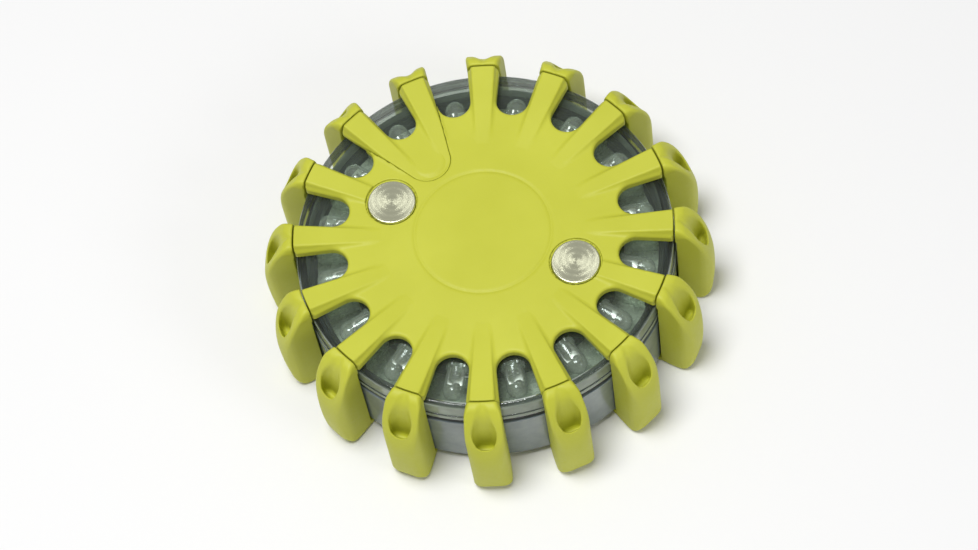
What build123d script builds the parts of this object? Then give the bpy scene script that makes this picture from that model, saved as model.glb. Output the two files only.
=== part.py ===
from build123d import *
import os
from math import cos, sin, tan, radians

# LED safety flare: a clear light puck held in a finned hi-vis shell.
# Millimetres, +Z up. The flare stands on z = 0 with its axis on the origin.

os.makedirs("parts", exist_ok=True)

# ---------------------------------------------------------------- driving dimensions
FIN_COUNT = 16
FIRST_FIN = -90.0            # degrees: one fin points to the front, along -Y
PITCH = 360.0 / FIN_COUNT

TIP_R = 54.3                 # outer radius over the fins
HEIGHT = 31.75               # floor to the crest of the ridges
FACE_Z = 29.9                # flat top face of the cover
COVER_R = 44.7
COVER_T = 2.5
SEAM_R = 45.0                # inner face of the fins beside the cover
PUCK_R = 45.0
PUCK_CLEARANCE = 0.3
BOTTOM_T = 1.5               # bottom disc of the cage

WINDOW_INNER_R = 32.5        # windows: round inner end, sides spreading outward
WINDOW_END_R = 4.0
WINDOW_FLARE = 6.2

FACE_CIRCLE = (16.0, 16.4)   # a fine engraved ring in the middle of the face
FACE_CIRCLE_DEPTH = 0.15

RIDGE_START_R = 24.0         # ridges rise out of the face here
RIDGE_TOP_START = 1.6        # half widths of the flat top
RIDGE_TOP_END = 2.9
RIDGE_FOOT_START = 2.0       # half widths at the face
RIDGE_FOOT_END = 3.7
RIDGE_SINK = 1.0             # how far the ridges reach down into the face
RIDGE_LEAST_RISE = 0.2
RIDGE_SPLAY = 1.0
CREST_R = 46.5               # highest point of ridge and fin
CREST_SLOPE = 0.08

FIN_ROOT_R = 43.0
FIN_ROOT_HALF = 3.6
FIN_WIDE_R = 49.5
FIN_WIDE_HALF = 4.75
FIN_CORNER_R = 4.2
FIN_SIDE_HALF = 8.0          # wider than any fin
FIN_WAIST = (TIP_R, 12.0)    # radius and height of the fin's widest point
FIN_SHOULDER = ((48.3, 30.2), (50.1, 27.3), (51.85, 23.6), (53.2, 19.5), (54.05, 15.5))
FIN_ANKLE = (53.45, 4.0)     # the wall draws in below the waist to here
FIN_HEEL = (52.95, 0.0)
FIN_HEEL_R = 3.0
ROOF_RISE = 0.05             # the sloping sides start this far above the crest
ROOF_HALF = 7.0
SCOOP_HALF = 2.6             # half width of the scoop
SCOOP_START_R = 45.6
SCOOP_END = (52.25, 22.3)    # radius and height of the rim's lowest point
SCOOP_END_DEPTH = 2.2        # radial half axis of its oval end
SCOOP_FLOOR = ((47.4, 30.5), (48.9, 28.2), (49.9, 25.0), (50.6, 21.0))
SCOOP_BOTTOM = ((50.85, 17.6), (51.2, 17.6))

TONGUE_ANGLE = FIRST_FIN + PITCH * 9.5
TONGUE_INNER_R = 18.4
TONGUE_END_R = 5.5
TONGUE_FLARE = 20.0
TONGUE_GAP = 0.3
TONGUE_UNDER_Z = 28.5
PRESS_R = 26.5               # radius of the nub, boot and switch
NUB_R = 2.0

MAGNET_R = 23.5
MAGNET_ANGLES = {"left": FIRST_FIN + PITCH * 11, "right": FIRST_FIN + PITCH * 3}
MAGNET_CUP_R = 5.7
MAGNET_CORE_R = 4.3
MAGNET_FIT = 0.1             # gap round the cup
MAGNET_MOAT = (6.2, 0.6)     # radius and depth of the groove round the cup
MAGNET_LIP_T = 0.5
MAGNET_LIP = 0.7             # the cover's hole is this much wider than the core
MAGNET_SEAT = 0.05
MAGNET_EDGE = 0.25           # chamfer round the cup
CUP_FACE_T = 0.9

LENS_TOP_Z = 27.3
LENS_TOP_T = 1.8
LENS_R = 44.7
LENS_WALL_T = 2.2
LENS_EDGE_R = 1.1
LENS_RECESS_R = 3.5          # the rubber boot sits in this hole
LENS_RECESS_DEPTH = 4.0
FLANGE_Z = (20.9, 22.6)
FLANGE_EDGE_R = 0.35
SKIRT_R = (41.3, 42.7)
SKIRT_Z = (17.0, 21.2)
ORING_R = 43.85
ORING_WIRE_R = 0.88
HOUSING_Z = (1.6, 19.1)
HOUSING_WALL_T = 2.0
HOUSING_FLOOR_T = 1.8
HOUSING_EDGE_R = 1.0
BOSS_R = 3.0
BOSS_HOLE = (0.95, 9.0)      # radius and lowest point of the screw holes

BOARD_R = 40.3
BOARD_Z = (15.2, 16.8)
BOARD_CUTOUT = (45.0, 20.8)
SCREW_R = 27.5
SCREW_ANGLES = (60.0, 215.0, 325.0)
SCREW_HOLE_R = 1.1
SCREW_SHANK = (0.9, 10.0)    # radius and lowest point
SCREW_HEAD = (1.9, 1.2)      # radius and height
SCREW_SLOT = (0.5, 0.5)      # width and depth
LEAD_HOLE_R = 0.45
ON_BOARD_Z = BOARD_Z[1] + 0.1

LED_Z = 22.3
LED_BACK_R = 32.2
LED_BODY_R = 2.5
LED_RIM_R = 2.9
LED_RIM_T = 1.0
LED_TIP_R = 40.8
LEAD_SPACING = 2.54
LEAD_SIZE = 0.5
LEAD_R = 31.0
LEAD_BELOW = 0.8             # how far the leads stick out under the board
REFLECTOR_T = 0.7
REFLECTOR_R = (32.6, 40.8)
RIB_R = (33.0, 40.5)
RIB_HALF = 0.6
RIB_ABOVE_LED = 2.0

SWITCH_HALF = 3.0
SWITCH_TOP_Z = 20.3
SWITCH_WELL = (1.8, 18.5)    # radius and floor
PLUNGER_R = 1.7
PLUNGER_Z = (19.6, 22.9)
BOOT_DOME = (3.2, (25.3, 27.15))
BOOT_DOME_EDGE_R = 0.8
BOOT_RIM = (4.6, (24.8, 25.4))
BOOT_STEM = (1.5, (23.1, 24.9))

CHIP_Y = 20.0
CHIP_HALF = (4.0, 2.6)
CHIP_Z = (ON_BOARD_Z + 0.2, ON_BOARD_Z + 1.7)
CHIP_EDGE = 0.3
PIN_COUNT = 6                # on each side of the chip
PIN_PITCH = 1.28
PIN_HALF = (0.2, 3.6)
PIN_T = 0.6
COIL_PLACE = (0.0, -20.0)
COIL_R = 3.9
COIL_WAIST_R = 3.0
COIL_LEVELS = (0.0, 1.0, 3.0, 4.0)
CAPACITOR_PLACE = (11.0, -20.0)
CAPACITOR_R = 3.1
CAPACITOR_T = 5.5
CAPACITOR_EDGE_R = 0.5
RESISTOR_HALF = (0.8, 0.4)
RESISTOR_T = 0.5
RESISTOR_PITCH = 4.0
RESISTOR_ROW_Y = 13.5
RESISTORS_IN_ROW = 5

CELL_R = 8.4
CELL_WRAP_T = 0.1
CELL_Z = 13.5
CELL_X = (-16.9, 16.2)
CELL_EDGE_R = 0.6
CELL_NUB_X = 17.3
NUB_CELL_R = 3.2
CELL_LID = (5.5, 0.3)        # radius and thickness of the cap under the nub
WRAP_INSET = 1.0
TROUGH_R = (8.8, 10.0)
TROUGH_WALLS = ((-21.0, -19.4), (17.9, 19.5))
TROUGH_WALL_HALF = 7.0
TROUGH_WALL_SPAN = (-3.0, 5.5)   # below and above the cell's axis
TROUGH_FOOT_HALF = (12.0, 3.4)
TROUGH_FOOT_GAP = 0.05
CONTACT_PLUS_X = (17.4, 17.8)
CONTACT_MINUS_X = (-19.3, -18.9)
CONTACT_HALF = 5.0
CONTACT_SPAN = (-4.5, 5.0)
CONTACT_REACH = 12.4
CONTACT_ARM_Z = (BOARD_Z[1] + 0.05, BOARD_Z[1] + 1.6)
SPRING_X = -18.5
SPRING_WIRE_R = 0.35
SPRING_PITCH = 0.85
SPRING_HEIGHT = 1.1
SPRING_R = 3.2
SPRING_CONE = -14
FOAM_HALF = (13.0, 5.0)
FOAM_CORNER = 1.5
FOAM_GAP = (0.2, 0.05)       # to the cell and to the lens


# ---------------------------------------------------------------- small helpers
def block(x, y, z):
    """A box from three (low, high) pairs."""
    size = [high - low for low, high in (x, y, z)]
    centre = [(high + low) / 2 for low, high in (x, y, z)]
    return Pos(*centre) * Box(*size)


def drum(radius, z):
    """An upright cylinder on the flare's axis from z[0] to z[1]."""
    return Pos(0, 0, (z[0] + z[1]) / 2) * Cylinder(radius, z[1] - z[0])


def ring(inner, outer, z):
    return drum(outer, z) - drum(inner, z)


def rod(start, end, radius):
    """A round bar between two points."""
    path = Vector(*end) - Vector(*start)
    bar = Cylinder(radius, path.length, align=(Align.CENTER, Align.CENTER, Align.MIN))
    return Plane(origin=start, z_dir=path) * bar


def turned(angle, shape):
    return Rot(0, 0, angle) * shape


def polar(radius, angle, shape):
    """The shape moved out to a radius and then turned to an angle."""
    return turned(angle, Pos(radius, 0, 0) * shape)


def fin_angles():
    return [FIRST_FIN + PITCH * k for k in range(FIN_COUNT)]


def window_angles():
    return [FIRST_FIN + PITCH * (k - 0.5) for k in range(FIN_COUNT)]


def keyhole(inner_r, end_r, flare, grow=0.0, reach=62.0):
    """Plan outline with a round inner end and straight sides that spread outward."""
    spread = radians(flare)
    radius = end_r + grow
    centre = inner_r + end_r
    side_x = centre - radius * sin(spread)
    side_y = radius * cos(spread)
    far_y = side_y + (reach - side_x) * tan(spread)
    corners = [(side_x, side_y), (side_x, -side_y), (reach, -far_y), (reach, far_y)]
    return Polygon(*corners, align=None) + Pos(centre, 0) * Circle(radius)


def prism(sketch, z):
    return Pos(0, 0, z[0]) * extrude(sketch, z[1] - z[0], dir=(0, 0, 1))


# ---------------------------------------------------------------- shell
def windows(z):
    slot = prism(keyhole(WINDOW_INNER_R, WINDOW_END_R, WINDOW_FLARE), z)
    return [turned(angle, slot) for angle in window_angles()]


def ridge():
    """One raised rib: a flat top that climbs outward, with sloping sides."""
    climb = (HEIGHT - FACE_Z) / (CREST_R - RIDGE_START_R)

    def section(radius, top_half, foot_half):
        top_z = FACE_Z + climb * (radius - RIDGE_START_R)
        rise = max(top_z - FACE_Z, RIDGE_LEAST_RISE)
        low_half = foot_half + (foot_half - top_half) * RIDGE_SINK / rise
        low_half = min(low_half, foot_half + RIDGE_SPLAY)
        low_z = FACE_Z - RIDGE_SINK
        points = [(-low_half, low_z), (low_half, low_z), (top_half, top_z), (-top_half, top_z)]
        return Plane.YZ.offset(radius) * Polygon(*points, align=None)

    inner = section(RIDGE_START_R, RIDGE_TOP_START, RIDGE_FOOT_START)
    outer = section(COVER_R + 1, RIDGE_TOP_END, RIDGE_FOOT_END)
    return loft([inner, outer], ruled=True)


def cover_blank():
    """Cover and tongue in one piece: the face, its ridges and its windows."""
    tall = (FACE_Z - COVER_T, HEIGHT + 1)
    blank = drum(COVER_R, (FACE_Z - COVER_T, FACE_Z))
    blank = blank + [turned(angle, ridge()) for angle in fin_angles()]
    blank = blank & drum(COVER_R, tall)
    return blank - windows((FACE_Z - COVER_T - 1, HEIGHT + 2))


def tongue_prism(grow, low_z):
    outline = keyhole(TONGUE_INNER_R, TONGUE_END_R, TONGUE_FLARE, grow)
    return turned(TONGUE_ANGLE, prism(outline, (low_z, HEIGHT + 2)))


def magnet_pocket():
    hole = drum(MAGNET_CUP_R + MAGNET_FIT, (FACE_Z - COVER_T + MAGNET_LIP_T, HEIGHT))
    moat_r, moat_depth = MAGNET_MOAT
    moat = drum(moat_r, (FACE_Z - moat_depth, HEIGHT))
    return hole + moat + drum(MAGNET_CORE_R + MAGNET_LIP, (FACE_Z - COVER_T - 1, HEIGHT))


def shell_cover(blank):
    cover = blank - tongue_prism(TONGUE_GAP, FACE_Z - COVER_T - 1)
    for angle in MAGNET_ANGLES.values():
        cover = cover - polar(MAGNET_R, angle, magnet_pocket())
    return cover - ring(*FACE_CIRCLE, (FACE_Z - FACE_CIRCLE_DEPTH, FACE_Z + 1))


def power_button(blank):
    tongue = blank & tongue_prism(0, TONGUE_UNDER_Z)
    nub = drum(NUB_R, (LENS_TOP_Z, TONGUE_UNDER_Z + 0.5))
    return tongue + polar(PRESS_R, TONGUE_ANGLE, nub)


def fin_profile():
    """Side view of a fin: crest, long rounded shoulder, waist and round heel."""
    crest = (CREST_R, HEIGHT)
    root_top = (FIN_ROOT_R, HEIGHT - CREST_SLOPE * (CREST_R - FIN_ROOT_R))
    wall = [crest, *FIN_SHOULDER, FIN_WAIST, FIN_ANKLE]
    outline = [
        Line((FIN_ROOT_R, 0), FIN_HEEL),
        Line(FIN_HEEL, FIN_ANKLE),
        Spline(wall),
        Line(crest, root_top),
        Line(root_top, (FIN_ROOT_R, 0)),
    ]
    side = make_face(outline)
    heel = side.vertices().sort_by_distance(FIN_HEEL)[0]
    return fillet(heel, FIN_HEEL_R)


def fin_plan():
    """Top view of a fin: widening outward, with round corners at the tip."""
    half = [
        (FIN_ROOT_R, FIN_ROOT_HALF),
        (FIN_WIDE_R, FIN_WIDE_HALF),
        (TIP_R, FIN_WIDE_HALF),
    ]
    points = half + [(x, -y) for x, y in reversed(half)]
    outline = Polygon(*points, align=None)
    return fillet(outline.vertices().group_by(Axis.X)[-1], FIN_CORNER_R)


def fin_roof():
    """The sloping sides beside the ridge, which die out towards the tip."""
    roof_z = HEIGHT + ROOF_RISE
    wide = ROOF_HALF

    def section(radius, top_half, fall):
        low_z = roof_z - fall * (wide - top_half)
        points = [(-wide, -1), (wide, -1), (wide, low_z)]
        points += [(top_half, roof_z), (-top_half, roof_z), (-wide, low_z)]
        return Plane.YZ.offset(radius) * Polygon(*points, align=None)

    inner = section(FIN_ROOT_R, RIDGE_TOP_END - 0.1, 2.0)
    outer = section(TIP_R + 1, FIN_WIDE_HALF - 0.3, 1.0)
    return loft([inner, outer], ruled=True)


def scoop():
    """The well behind the fin's outer wall: its floor falls away from the crest."""
    above = HEIGHT + 3
    end_r, rim_z = SCOOP_END
    centre_r = end_r - SCOOP_END_DEPTH
    start = (SCOOP_START_R, HEIGHT)
    foot, toe = SCOOP_BOTTOM
    side = [
        Line((SCOOP_START_R, above), start),
        Spline([start, *SCOOP_FLOOR, foot]),
        Line(foot, toe),
        Line(toe, (end_r, rim_z)),
        Line((end_r, rim_z), (end_r, above)),
        Line((end_r, above), (SCOOP_START_R, above)),
    ]
    length = centre_r - SCOOP_START_R + 1
    plan = Pos(centre_r - length / 2, 0) * Rectangle(length, 2 * SCOOP_HALF)
    plan = plan + Pos(centre_r, 0) * Ellipse(SCOOP_END_DEPTH, SCOOP_HALF)
    body = extrude(Plane.XZ * make_face(side), SCOOP_HALF + 1, both=True)
    return body & prism(plan, (foot[1] - 1, above))


def fin():
    side = extrude(Plane.XZ * fin_profile(), FIN_SIDE_HALF, both=True)
    plan = prism(fin_plan(), (-1, HEIGHT + 2))
    return (side & plan & fin_roof()) - scoop()


def shell_cage():
    one_fin = fin()
    disc = drum(PUCK_R + PUCK_CLEARANCE, (0, BOTTOM_T))
    for slot in windows((-1, BOTTOM_T + 1)):
        disc = disc - slot
    cage = disc + [turned(angle, one_fin) for angle in fin_angles()]
    cage = cage - drum(PUCK_R + PUCK_CLEARANCE, (BOTTOM_T, FACE_Z - COVER_T))
    return cage - drum(SEAM_R, (BOTTOM_T, HEIGHT + 2))


def magnet_base_z():
    return FACE_Z - COVER_T + MAGNET_LIP_T + MAGNET_SEAT


def magnet_cup():
    cup = drum(MAGNET_CUP_R, (magnet_base_z(), FACE_Z))
    cup = chamfer(cup.faces().sort_by(Axis.Z)[-1].edges(), MAGNET_EDGE)
    return cup - drum(MAGNET_CORE_R + MAGNET_SEAT, (magnet_base_z() - 1, FACE_Z - CUP_FACE_T))


def magnet_core():
    return drum(MAGNET_CORE_R, (magnet_base_z(), FACE_Z - CUP_FACE_T - MAGNET_SEAT))


# ---------------------------------------------------------------- light puck
def lens():
    cap = drum(LENS_R, (FLANGE_Z[0], LENS_TOP_Z))
    cap = fillet(cap.faces().sort_by(Axis.Z)[-1].edges(), LENS_EDGE_R)
    flange = drum(PUCK_R, FLANGE_Z)
    flange = fillet(flange.edges().filter_by(GeomType.CIRCLE), FLANGE_EDGE_R)
    cap = cap + flange - drum(LENS_R - LENS_WALL_T, (FLANGE_Z[0] - 1, LENS_TOP_Z - LENS_TOP_T))
    cap = cap + ring(*SKIRT_R, SKIRT_Z)
    recess = drum(LENS_RECESS_R, (LENS_TOP_Z - LENS_RECESS_DEPTH, LENS_TOP_Z + 1))
    return cap - polar(PRESS_R, TONGUE_ANGLE, recess)


def o_ring_seal():
    height = (FLANGE_Z[0] + HOUSING_Z[1]) / 2
    return Pos(0, 0, height) * Torus(ORING_R, ORING_WIRE_R)


def lower_housing():
    floor_z = HOUSING_Z[0] + HOUSING_FLOOR_T
    hole_r, hole_z = BOSS_HOLE
    cup = drum(PUCK_R, HOUSING_Z)
    cup = fillet(cup.faces().sort_by(Axis.Z)[0].edges(), HOUSING_EDGE_R)
    cup = cup - drum(PUCK_R - HOUSING_WALL_T, (floor_z, HOUSING_Z[1] + 1))
    boss = drum(BOSS_R, (floor_z - 0.5, BOARD_Z[0])) - drum(hole_r, (hole_z, BOARD_Z[0] + 1))
    return cup + [polar(SCREW_R, angle, boss) for angle in SCREW_ANGLES]


def lead_places():
    """Angle and sideways offset of every lamp lead."""
    sides = (-LEAD_SPACING / 2, LEAD_SPACING / 2)
    return [(angle, side) for angle in window_angles() for side in sides]


def circuit_board():
    length, width = BOARD_CUTOUT
    board = drum(BOARD_R, BOARD_Z)
    span = (BOARD_Z[0] - 1, BOARD_Z[1] + 1)
    holes = [block((-length / 2, length / 2), (-width / 2, width / 2), span)]
    holes += [polar(SCREW_R, angle, drum(SCREW_HOLE_R, span)) for angle in SCREW_ANGLES]
    holes += [turned(angle, Pos(LEAD_R, side, 0) * drum(LEAD_HOLE_R, span)) for angle, side in lead_places()]
    for hole in holes:
        board = board - hole
    return board


def board_screws():
    shank_r, tip_z = SCREW_SHANK
    head_r, head_t = SCREW_HEAD
    slot_width, slot_depth = SCREW_SLOT
    top_z = BOARD_Z[1] + head_t
    screw = drum(shank_r, (tip_z, BOARD_Z[1])) + drum(head_r, (BOARD_Z[1], top_z))
    across = (-slot_width / 2, slot_width / 2)
    slot = block((-head_r - 1, head_r + 1), across, (top_z - slot_depth, top_z + 1))
    return [polar(SCREW_R, angle, screw - slot) for angle in SCREW_ANGLES]


def led():
    """One round lamp lying on its side, pointing outward."""
    dome_x = LED_TIP_R - LED_BODY_R
    body = rod((LED_BACK_R, 0, LED_Z), (dome_x, 0, LED_Z), LED_BODY_R)
    rim = rod((LED_BACK_R, 0, LED_Z), (LED_BACK_R + LED_RIM_T, 0, LED_Z), LED_RIM_R)
    return body + Pos(dome_x, 0, LED_Z) * Sphere(LED_BODY_R) + rim


def led_leads():
    half = LEAD_SIZE / 2
    leads = []
    for angle, side in lead_places():
        across = (side - half, side + half)
        leg = block((LEAD_R - half, LEAD_R + half), across, (BOARD_Z[0] - LEAD_BELOW, LED_Z + half))
        arm = block((LEAD_R, LED_BACK_R), across, (LED_Z - half, LED_Z + half))
        leads.append(turned(angle, leg + arm))
    return leads


def reflector_ring():
    """A shallow ring under the lamps with a rib between each two of them."""
    tray = ring(*REFLECTOR_R, (ON_BOARD_Z, ON_BOARD_Z + REFLECTOR_T))
    rib = block(RIB_R, (-RIB_HALF, RIB_HALF), (ON_BOARD_Z, LED_Z + RIB_ABOVE_LED))
    return tray + [turned(angle, rib) for angle in fin_angles()]


def tact_switch():
    side = (-SWITCH_HALF, SWITCH_HALF)
    well_r, well_z = SWITCH_WELL
    body = block(side, side, (ON_BOARD_Z, SWITCH_TOP_Z)) - drum(well_r, (well_z, SWITCH_TOP_Z + 1))
    return polar(PRESS_R, TONGUE_ANGLE, body)


def switch_plunger():
    return polar(PRESS_R, TONGUE_ANGLE, drum(PLUNGER_R, PLUNGER_Z))


def switch_boot():
    dome = fillet(drum(*BOOT_DOME).faces().sort_by(Axis.Z)[-1].edges(), BOOT_DOME_EDGE_R)
    boot = dome + drum(*BOOT_RIM) + drum(*BOOT_STEM)
    return polar(PRESS_R, TONGUE_ANGLE, boot)


def microcontroller():
    length, width = CHIP_HALF
    pin_half, pin_reach = PIN_HALF
    chip = block((-length, length), (-width, width), CHIP_Z)
    chip = chamfer(chip.faces().sort_by(Axis.Z)[-1].edges(), CHIP_EDGE)
    for k in range(PIN_COUNT):
        x = (k - (PIN_COUNT - 1) / 2) * PIN_PITCH
        span = (x - pin_half, x + pin_half)
        chip = chip + block(span, (-pin_reach, pin_reach), (ON_BOARD_Z, ON_BOARD_Z + PIN_T))
    return Pos(0, CHIP_Y, 0) * chip


def driver_inductor():
    base, waist_low, waist_high, top = [ON_BOARD_Z + level for level in COIL_LEVELS]
    core = drum(COIL_R, (base, top)) - ring(COIL_WAIST_R, COIL_R + 1, (waist_low, waist_high))
    return Pos(*COIL_PLACE) * core


def smoothing_capacitor():
    can = drum(CAPACITOR_R, (ON_BOARD_Z, ON_BOARD_Z + CAPACITOR_T))
    can = fillet(can.faces().sort_by(Axis.Z)[-1].edges(), CAPACITOR_EDGE_R)
    return Pos(*CAPACITOR_PLACE) * can


def chip_resistors():
    length, width = RESISTOR_HALF
    chip = block((-length, length), (-width, width), (ON_BOARD_Z, ON_BOARD_Z + RESISTOR_T))
    row = [(k - (RESISTORS_IN_ROW - 1) / 2) * RESISTOR_PITCH for k in range(RESISTORS_IN_ROW)]
    return [Pos(x, y, 0) * chip for y in (RESISTOR_ROW_Y, -RESISTOR_ROW_Y) for x in row]


# ---------------------------------------------------------------- battery
def battery_holder():
    """A half-round trough with two end walls, standing on the housing floor."""
    low, high = TROUGH_WALLS[0][0], TROUGH_WALLS[1][1]
    bore_r, outer_r = TROUGH_R
    outer = rod((low, 0, CELL_Z), (high, 0, CELL_Z), outer_r)
    bore = rod((TROUGH_WALLS[0][1], 0, CELL_Z), (TROUGH_WALLS[1][0], 0, CELL_Z), bore_r)
    above = block((low - 1, high + 1), (-outer_r - 1, outer_r + 1), (CELL_Z, CELL_Z + outer_r + 2))
    trough = outer - bore - above
    wall_z = [CELL_Z + level for level in TROUGH_WALL_SPAN]
    for wall in TROUGH_WALLS:
        trough = trough + block(wall, (-TROUGH_WALL_HALF, TROUGH_WALL_HALF), wall_z)
    length, width = TROUGH_FOOT_HALF
    foot_z = (HOUSING_Z[0] + HOUSING_FLOOR_T + TROUGH_FOOT_GAP, CELL_Z - outer_r + 1)
    return trough + block((-length, length), (-width, width), foot_z)


def contact(x, side):
    """A sprung contact plate with an arm that lies on the board."""
    plate_z = [CELL_Z + level for level in CONTACT_SPAN]
    plate = block(x, (-CONTACT_HALF, CONTACT_HALF), plate_z)
    arm = block(x, sorted((CONTACT_HALF * side, CONTACT_REACH * side)), CONTACT_ARM_Z)
    return plate + arm


def contact_spring():
    """A short tapering coil that presses on the flat end of the cell."""
    coil = Helix(pitch=SPRING_PITCH, height=SPRING_HEIGHT, radius=SPRING_R, cone_angle=SPRING_CONE)
    start = Plane(origin=coil @ 0, z_dir=coil % 0)
    spring = sweep(start * Circle(SPRING_WIRE_R), path=coil, is_frenet=True)
    return Pos(SPRING_X, 0, CELL_Z) * Rot(0, 90, 0) * spring


def along_cell(x, radius):
    return rod((x[0], 0, CELL_Z), (x[1], 0, CELL_Z), radius)


def battery_can():
    can = along_cell(CELL_X, CELL_R)
    return fillet(can.edges().filter_by(GeomType.CIRCLE), CELL_EDGE_R)


def battery_sleeve():
    low, high = CELL_X[0] + WRAP_INSET, CELL_X[1] - WRAP_INSET
    return along_cell((low, high), CELL_R + CELL_WRAP_T) - along_cell((low - 1, high + 1), CELL_R)


def battery_nub():
    lid_r, lid_t = CELL_LID
    nub = along_cell((CELL_X[1], CELL_NUB_X), NUB_CELL_R)
    return nub + along_cell((CELL_X[1], CELL_X[1] + lid_t), lid_r)


def foam_pad():
    length, width = FOAM_HALF
    below, over = FOAM_GAP
    bottom = CELL_Z + CELL_R + CELL_WRAP_T + below
    top = LENS_TOP_Z - LENS_TOP_T - over
    pad = block((-length, length), (-width, width), (bottom, top))
    return chamfer(pad.edges().filter_by(Axis.Z), FOAM_CORNER)


# ---------------------------------------------------------------- write the parts
def write(name, shape):
    solids = shape if isinstance(shape, list) else [shape]
    whole = Compound(children=[s for item in solids for s in item.solids()])
    whole.label = name
    export_step(whole, os.path.join("parts", name + ".step"))
    print(name, len(whole.solids()), "solids", round(whole.volume), "mm3")


def main():
    blank = cover_blank()
    write("shell_cover", shell_cover(blank))
    write("power_button", power_button(blank))
    write("shell_cage", shell_cage())
    for side, angle in MAGNET_ANGLES.items():
        write("magnet_cup_" + side, polar(MAGNET_R, angle, magnet_cup()))
        write("magnet_core_" + side, polar(MAGNET_R, angle, magnet_core()))
    single = [
        lens, o_ring_seal, lower_housing, circuit_board, board_screws, led_leads,
        reflector_ring, tact_switch, switch_plunger, switch_boot, microcontroller,
        driver_inductor, smoothing_capacitor, chip_resistors, battery_holder,
        contact_spring, battery_can, battery_sleeve, battery_nub, foam_pad,
    ]
    for make in single:
        write(make.__name__, make())
    write("contact_plus", contact(CONTACT_PLUS_X, 1))
    write("contact_minus", contact(CONTACT_MINUS_X, -1))
    for number, angle in enumerate(window_angles(), start=1):
        write(f"led_{number:02d}", turned(angle, led()))


main()
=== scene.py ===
import bmesh
import bpy
import numpy as np
from math import cos, pi, radians, sin
from mathutils import Matrix, Vector


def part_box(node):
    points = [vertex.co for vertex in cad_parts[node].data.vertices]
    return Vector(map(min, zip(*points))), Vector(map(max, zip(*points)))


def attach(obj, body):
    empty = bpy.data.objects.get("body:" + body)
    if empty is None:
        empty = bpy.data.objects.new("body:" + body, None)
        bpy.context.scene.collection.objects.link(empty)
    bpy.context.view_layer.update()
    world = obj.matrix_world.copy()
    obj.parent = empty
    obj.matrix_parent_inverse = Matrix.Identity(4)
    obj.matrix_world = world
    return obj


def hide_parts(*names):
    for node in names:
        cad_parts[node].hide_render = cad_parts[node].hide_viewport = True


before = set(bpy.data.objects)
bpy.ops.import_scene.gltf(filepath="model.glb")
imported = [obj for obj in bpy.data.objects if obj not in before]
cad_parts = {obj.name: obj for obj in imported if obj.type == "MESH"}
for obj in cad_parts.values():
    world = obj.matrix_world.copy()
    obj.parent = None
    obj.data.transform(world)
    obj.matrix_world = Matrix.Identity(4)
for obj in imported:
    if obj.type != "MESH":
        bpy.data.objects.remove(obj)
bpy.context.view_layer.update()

MM = 0.001


def middle(name):
    """Middle of a CAD node's box, in millimetres."""
    low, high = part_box(name)
    return (low + high) / 2 / MM


# ---------------------------------------------------------------- sizes, in millimetres
FINS = 16
ROUND = 2 * pi
PITCH = ROUND / FINS
FIRST_FIN = -pi / 2
WINDOW_ANGLES = [FIRST_FIN + PITCH * (k - 0.5) for k in range(FINS)]

CUP_LOW, CUP_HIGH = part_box("magnet_cup_left")
FACE_Z = CUP_HIGH.z / MM
CUP_R = (CUP_HIGH.x - CUP_LOW.x) / 2 / MM
TIP_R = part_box("shell_cage")[1].x / MM
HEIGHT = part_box("shell_cage")[1].z / MM
COVER_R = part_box("shell_cover")[1].x / MM
COVER_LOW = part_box("shell_cover")[0].z / MM
BOARD_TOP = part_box("circuit_board")[1].z / MM
BOTTOM_T = 1.5
CAGE_BORE = 45.3              # inside the fins, below the cover
SEAM_R = 45.04                # inside the fins, beside the cover
FACE_EDGE_R = 0.18            # rounding along the seam
UNDER_EDGE_R = 0.12

RIDGE_START = 24.0            # where the ridges rise out of the face
RIDGE_CLIMB = 0.0822
RIDGE_TOP = (1.6, 2.9)        # half width of the flat top, at the start and at the crest
RIDGE_FOOT = (2.0, 3.7)
RIDGE_EDGE_R = 0.22
RIDGE_FILLET = 0.7
CREST_R = 46.5

WINDOW_CENTRE = 36.5
WINDOW_R = 4.0
WINDOW_FLARE = radians(6.2)
WINDOW_EDGE_R = 0.75

RING_GROOVE = (16.2, 0.42, 0.2)       # radius, width and depth of the round groove in the face

TONGUE_ANGLE = FIRST_FIN + PITCH * 9.5
TONGUE_CENTRE = 23.9
TONGUE_R = 5.5
TONGUE_FLARE = radians(20.0)
TONGUE_GAP = 0.08
TONGUE_EDGE_R = 0.24
TONGUE_UNDER = 28.5
TONGUE_GROOVE = (0.75, 0.7, 0.34)     # how far inside the outline, width and depth
PRESS = middle("switch_boot")         # where the nub under the tongue meets the boot
NUB_R = 2.0
NUB_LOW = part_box("power_button")[0].z / MM

MAGNETS = {"left": middle("magnet_cup_left"), "right": middle("magnet_cup_right")}
MOAT_R = 6.2                  # the shallow round hollow that a magnet disc sits in
MOAT_DEPTH = 0.6
SEAT_GAP = 0.1
SEAT_FLOOR = 0.5              # above the cover's underside
MAGNET_HOLE_R = 5.0           # through the seat's floor


# ---------------------------------------------------------------- distance functions
def round_union(a, b, r):
    """Union of two shapes with a fillet of radius r in the corner between them."""
    return np.maximum(r, np.minimum(a, b)) - np.hypot(np.maximum(r - a, 0), np.maximum(r - b, 0))


def round_cut(a, b, r):
    """What two shapes share, with the edge between them rounded to radius r."""
    return np.minimum(-r, np.maximum(a, b)) + np.hypot(np.maximum(r + a, 0), np.maximum(r + b, 0))


def mix(pair, t):
    """The value at t on the way from the pair's first to its second."""
    return pair[0] + (pair[1] - pair[0]) * t


def sector(x, y, offset):
    """Coordinates along and across the nearest of the 16 radial lines."""
    r = np.hypot(x, y)
    a = np.arctan2(y, x) - FIRST_FIN - offset
    a = a - PITCH * np.round(a / PITCH)
    return r * np.cos(a), np.abs(r * np.sin(a)), r


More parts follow.
